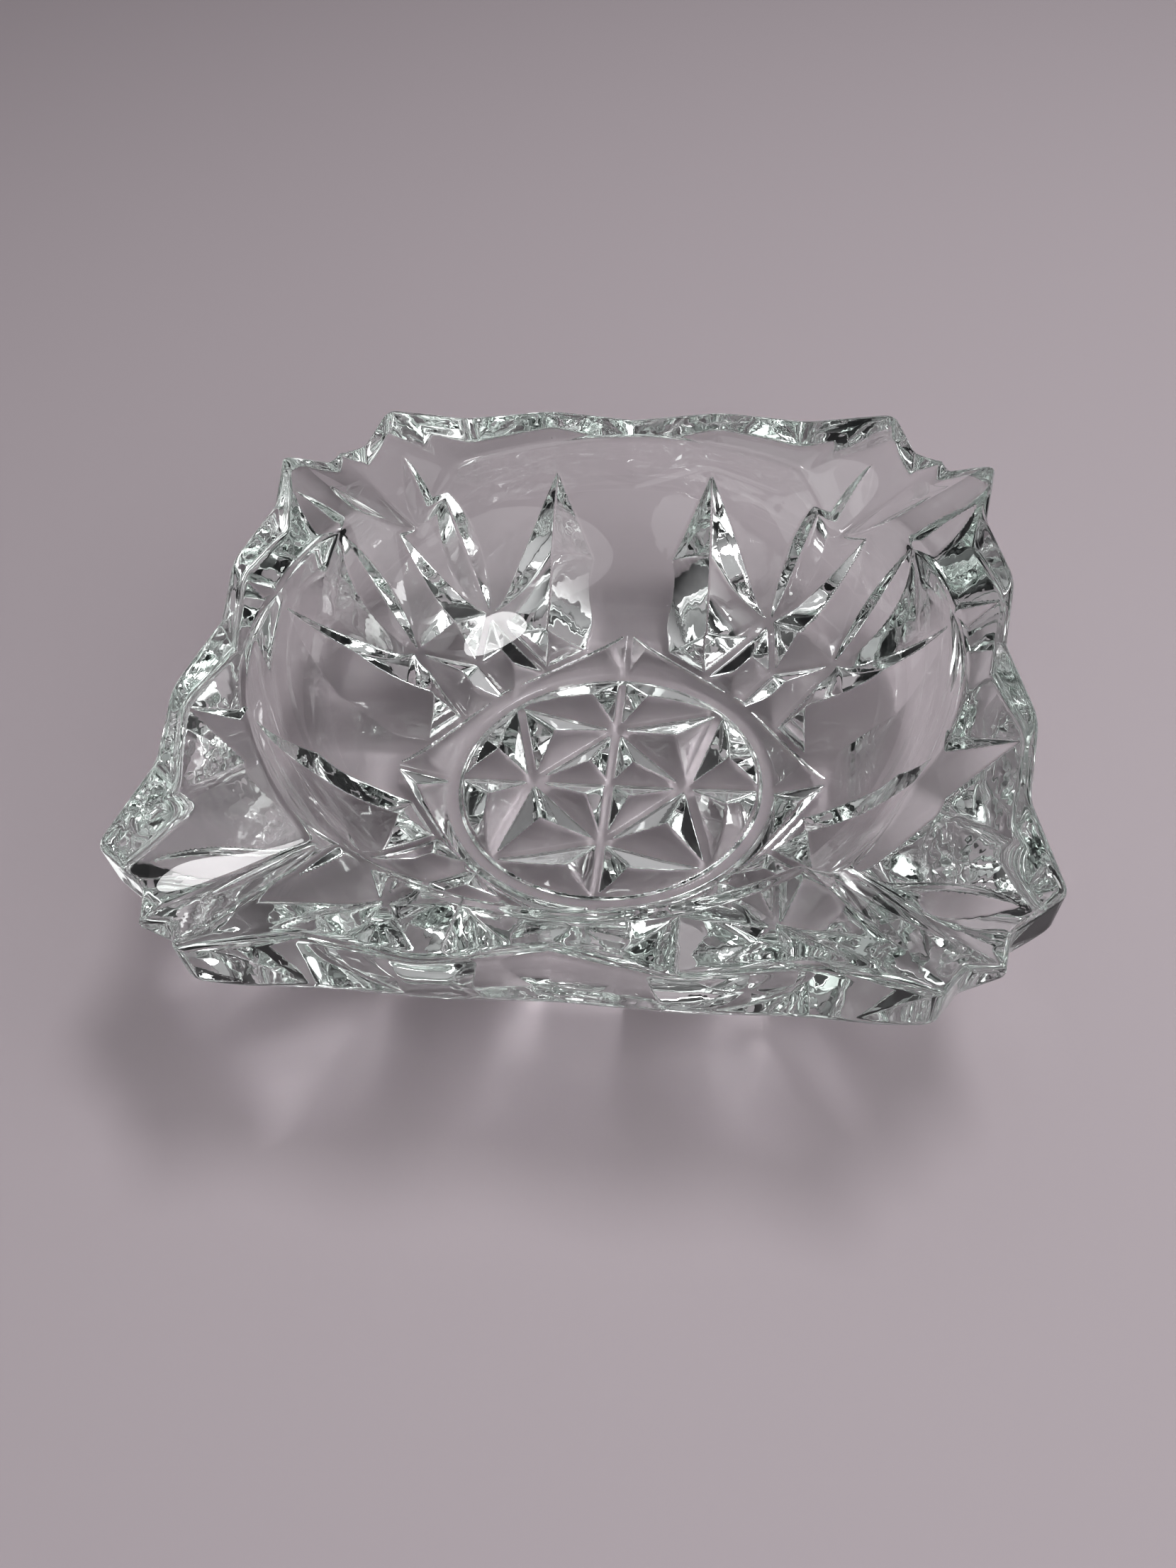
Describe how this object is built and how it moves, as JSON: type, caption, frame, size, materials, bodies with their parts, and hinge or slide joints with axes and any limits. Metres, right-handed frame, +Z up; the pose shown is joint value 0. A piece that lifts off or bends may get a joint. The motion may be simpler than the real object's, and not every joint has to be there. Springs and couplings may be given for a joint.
{
  "type": "ashtray",
  "caption": "Square pressed-glass ashtray with zigzag sides, a round bowl, a V-shaped rest at each corner and a cut pattern of pits under it.",
  "frame": {"origin": "centre of the foot ring's face, which is the bottom of the bounding box", "axes": "+Z up out of the bowl; +X and +Y each point square at a zigzag side, with the corner rests on the diagonals"},
  "size_m": [0.15, 0.15, 0.047],
  "materials": {
    "clear_glass": "polished"
  },
  "bodies": {
    "root": {"glass_body": "clear_glass"}
  },
  "joints": []
}
